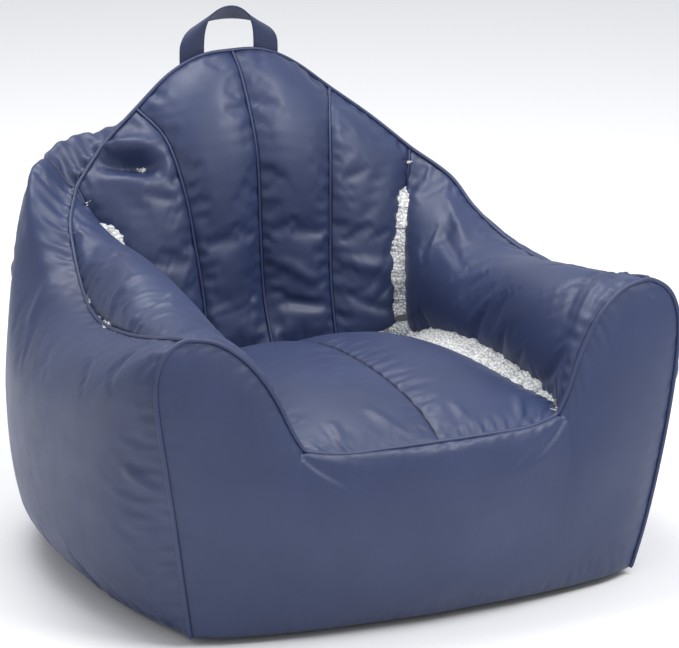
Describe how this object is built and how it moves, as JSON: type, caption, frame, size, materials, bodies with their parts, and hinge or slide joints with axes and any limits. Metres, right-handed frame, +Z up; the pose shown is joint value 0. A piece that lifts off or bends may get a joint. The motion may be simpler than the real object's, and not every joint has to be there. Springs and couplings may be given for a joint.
{
  "type": "bean bag chair",
  "caption": "Bead-filled armchair bag with rounded arms, a fan-channelled back, corded seams, a refill zip and a webbing carry handle.",
  "frame": {"origin": "on the floor, at the centre of the chair's bounding box", "axes": "+Z up; the sitter faces -Y; X runs from side to side, +X on the right seen from the front"},
  "size_m": [0.8222, 0.7608, 0.7029],
  "materials": {
    "cover_cloth": "satin",
    "base_cloth": "matte",
    "piping_cloth": "satin",
    "bead_filling": "matte",
    "baffle_cloth": "matte",
    "zip_tape": "matte",
    "zip_coil": "satin",
    "zip_metal": "satin",
    "webbing": "satin",
    "thread": "satin"
  },
  "bodies": {
    "chair": {"front_panel": "cover_cloth", "left_side_panel": "cover_cloth", "right_side_panel": "cover_cloth", "left_rear_panel": "cover_cloth", "right_rear_panel": "cover_cloth", "left_seat_panel": "cover_cloth", "right_seat_panel": "cover_cloth", "left_arm_panel": "cover_cloth", "right_arm_panel": "cover_cloth", "back_channel_outer_left": "cover_cloth", "back_channel_inner_left": "cover_cloth", "back_channel_inner_right": "cover_cloth", "back_channel_outer_right": "cover_cloth", "bottom_panel": "base_cloth", "back_welt_far_left": "piping_cloth", "back_welt_left": "piping_cloth", "back_welt_centre": "piping_cloth", "back_welt_right": "piping_cloth", "back_welt_far_right": "piping_cloth", "rim_piping": "piping_cloth", "front_piping": "piping_cloth", "base_filling": "bead_filling", "back_filling": "bead_filling", "left_arm_filling": "bead_filling", "right_arm_filling": "bead_filling", "level_baffle": "baffle_cloth", "back_baffle": "baffle_cloth", "left_arm_baffle": "baffle_cloth", "right_arm_baffle": "baffle_cloth", "zip_tape_left": "zip_tape", "zip_tape_right": "zip_tape", "zip_coil": "zip_coil", "zip_stops": "zip_metal", "handle_roots": "webbing", "handle_bar_tacks": "thread"},
    "handle": {"carry_handle": "webbing"},
    "slider": {"zip_slider": "zip_metal"}
  },
  "joints": [
    {"name": "handle_flop", "type": "hinge", "parent": "chair", "child": "handle", "pos_m": [0, 0.338, 0.632], "axis": [1, 0, 0], "range_deg": [-95, 80], "stiffness_Nm_per_rad": 0.05},
    {"name": "zip_slide", "type": "slide", "parent": "chair", "child": "slider", "axis": [0, 0, -1], "range_m": [0, 0.27]}
  ]
}
